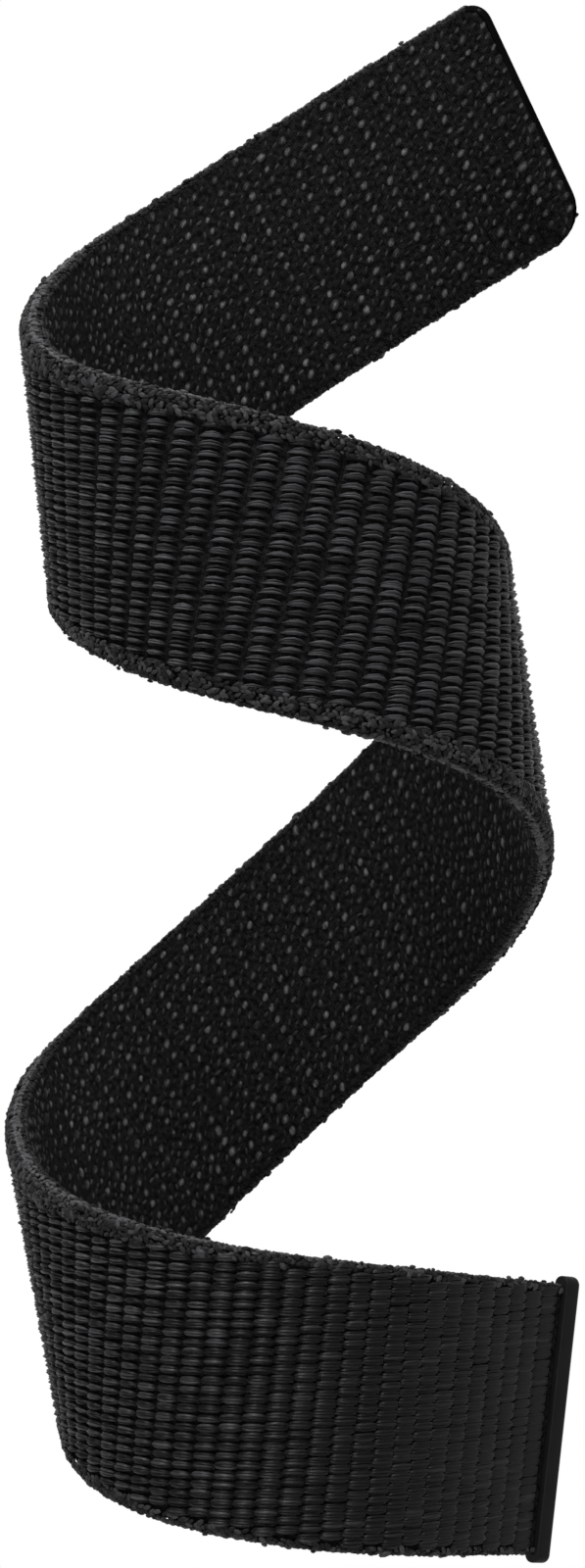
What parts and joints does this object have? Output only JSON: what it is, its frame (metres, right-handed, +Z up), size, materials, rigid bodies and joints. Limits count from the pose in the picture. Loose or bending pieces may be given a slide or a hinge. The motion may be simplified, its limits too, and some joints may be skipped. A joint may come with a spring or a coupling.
{
  "type": "watch strap",
  "caption": "Woven nylon watch strap: a flat black band with a hard stop bar at one end and hook patches near its sealed free end, hanging in a loose coil.",
  "frame": {"origin": "the middle of the stop bar's outer long face, which is the mount bar_seat", "axes": "+X points out of that face, away from the band, +Z runs up the bar and is the coil's long direction, and +Y points into the coil"},
  "size_m": [0.0614, 0.0564, 0.1299],
  "materials": {
    "band": "black woven nylon, ribbed and looped on the outer face",
    "stop_bar": "black moulded nylon, satin",
    "hooks": "black moulded hooks on a thin backing"
  },
  "bodies": {
    "bar_end": {"end_bar": "stop_bar", "webbing_01": "band"},
    "band_02": {"webbing_02": "band"},
    "band_03": {"webbing_03": "band"},
    "band_04": {"webbing_04": "band"},
    "band_05": {"webbing_05": "band"},
    "band_06": {"webbing_06": "band"},
    "band_07": {"webbing_07": "band"},
    "band_08": {"webbing_08": "band"},
    "band_09": {"webbing_09": "band"},
    "band_10": {"webbing_10": "band"},
    "band_11": {"webbing_11": "band"},
    "band_12": {"webbing_12": "band"},
    "band_13": {"webbing_13": "band"},
    "band_14": {"webbing_14": "band"},
    "band_15": {"webbing_15": "band"},
    "band_16": {"webbing_16": "band"},
    "band_17": {"webbing_17": "band"},
    "band_18": {"webbing_18": "band", "hook_patch_1": "hooks"},
    "band_19": {"webbing_19": "band", "hook_patch_2": "hooks"},
    "band_20": {"webbing_20": "band", "hook_patch_3": "hooks"}
  },
  "joints": [
    {"name": "bend_01", "type": "hinge", "parent": "bar_end", "child": "band_02", "pos_m": [-0.01594, 0, 0], "axis": [-0.1191, 0, 0.9929], "range_deg": [-8, 23], "stiffness_Nm_per_rad": 0.02},
    {"name": "bend_02", "type": "hinge", "parent": "band_02", "child": "band_03", "pos_m": [-0.02888, 0.00549, 0.0002], "axis": [-0.1729, 0.0181, 0.9848], "range_deg": [-8, 51], "stiffness_Nm_per_rad": 0.02},
    {"name": "bend_03", "type": "hinge", "parent": "band_03", "child": "band_04", "pos_m": [-0.03337, 0.01859, 0.00177], "axis": [-0.1922, 0.1629, 0.9677], "range_deg": [-8, 39], "stiffness_Nm_per_rad": 0.02},
    {"name": "bend_04", "type": "hinge", "parent": "band_04", "child": "band_05", "pos_m": [-0.02915, 0.03173, 0.00521], "axis": [-0.0984, 0.3697, 0.9239], "range_deg": [-8, 23], "stiffness_Nm_per_rad": 0.02},
    {"name": "bend_05", "type": "hinge", "parent": "band_05", "child": "band_06", "pos_m": [-0.02081, 0.04219, 0.01021], "axis": [0.0505, 0.4859, 0.8726], "range_deg": [-8, 30], "stiffness_Nm_per_rad": 0.02},
    {"name": "bend_06", "type": "hinge", "parent": "band_06", "child": "band_07", "pos_m": [-0.01017, 0.04808, 0.01758], "axis": [-0.3544, 0.4001, 0.8452], "range_deg": [-8, 31], "stiffness_Nm_per_rad": 0.02},
    {"name": "bend_07", "type": "hinge", "parent": "band_07", "child": "band_08", "pos_m": [-0.00014, 0.04747, 0.02759], "axis": [-0.5684, 0.4141, 0.711], "range_deg": [-8, 31], "stiffness_Nm_per_rad": 0.02},
    {"name": "bend_08", "type": "hinge", "parent": "band_08", "child": "band_09", "pos_m": [0.00596, 0.04035, 0.0382], "axis": [-0.517, 0.2948, 0.8036], "range_deg": [-8, 33], "stiffness_Nm_per_rad": 0.02},
    {"name": "bend_09", "type": "hinge", "parent": "band_09", "child": "band_10", "pos_m": [0.00615, 0.02899, 0.04673], "axis": [-0.4306, -0.0288, 0.9021], "range_deg": [-8, 28], "stiffness_Nm_per_rad": 0.02},
    {"name": "bend_10", "type": "hinge", "parent": "band_10", "child": "band_11", "pos_m": [0.00124, 0.01706, 0.05288], "axis": [-0.4452, -0.1939, 0.8742], "range_deg": [-8, 21], "stiffness_Nm_per_rad": 0.02},
    {"name": "bend_11", "type": "hinge", "parent": "band_11", "child": "band_12", "pos_m": [-0.00721, 0.00652, 0.05752], "axis": [-0.3316, 0.0231, 0.9431], "range_deg": [-8, 27], "stiffness_Nm_per_rad": 0.02},
    {"name": "bend_12", "type": "hinge", "parent": "band_12", "child": "band_13", "pos_m": [-0.0195, 0.00014, 0.06065], "axis": [-0.2321, 0.102, 0.9673], "range_deg": [-8, 36], "stiffness_Nm_per_rad": 0.02},
    {"name": "bend_13", "type": "hinge", "parent": "band_13", "child": "band_14", "pos_m": [-0.03339, 0.00168, 0.06253], "axis": [-0.2626, 0.1222, 0.9571], "range_deg": [-8, 44], "stiffness_Nm_per_rad": 0.02},
    {"name": "bend_14", "type": "hinge", "parent": "band_14", "child": "band_15", "pos_m": [-0.0429, 0.01176, 0.06461], "axis": [-0.3093, 0.1346, 0.9414], "range_deg": [-8, 49], "stiffness_Nm_per_rad": 0.02},
    {"name": "bend_15", "type": "hinge", "parent": "band_15", "child": "band_16", "pos_m": [-0.043, 0.02504, 0.06919], "axis": [-0.3345, -0.1077, 0.9362], "range_deg": [-8, 37], "stiffness_Nm_per_rad": 0.02},
    {"name": "bend_16", "type": "hinge", "parent": "band_16", "child": "band_17", "pos_m": [-0.03558, 0.03497, 0.07608], "axis": [-0.0586, 0.203, 0.9774], "range_deg": [-8, 31], "stiffness_Nm_per_rad": 0.02},
    {"name": "bend_17", "type": "hinge", "parent": "band_17", "child": "band_18", "pos_m": [-0.02493, 0.03954, 0.08436], "axis": [-0.275, 0.1818, 0.9441], "range_deg": [-8, 26], "stiffness_Nm_per_rad": 0.02},
    {"name": "bend_18", "type": "hinge", "parent": "band_18", "child": "band_19", "pos_m": [-0.01421, 0.03832, 0.09367], "axis": [-0.6011, 0.2158, 0.7695], "range_deg": [-8, 23], "stiffness_Nm_per_rad": 0.02},
    {"name": "bend_19", "type": "hinge", "parent": "band_19", "child": "band_20", "pos_m": [-0.00544, 0.03184, 0.10287], "axis": [-0.6851, 0.2602, 0.6804], "range_deg": [-8, 21], "stiffness_Nm_per_rad": 0.02}
  ]
}
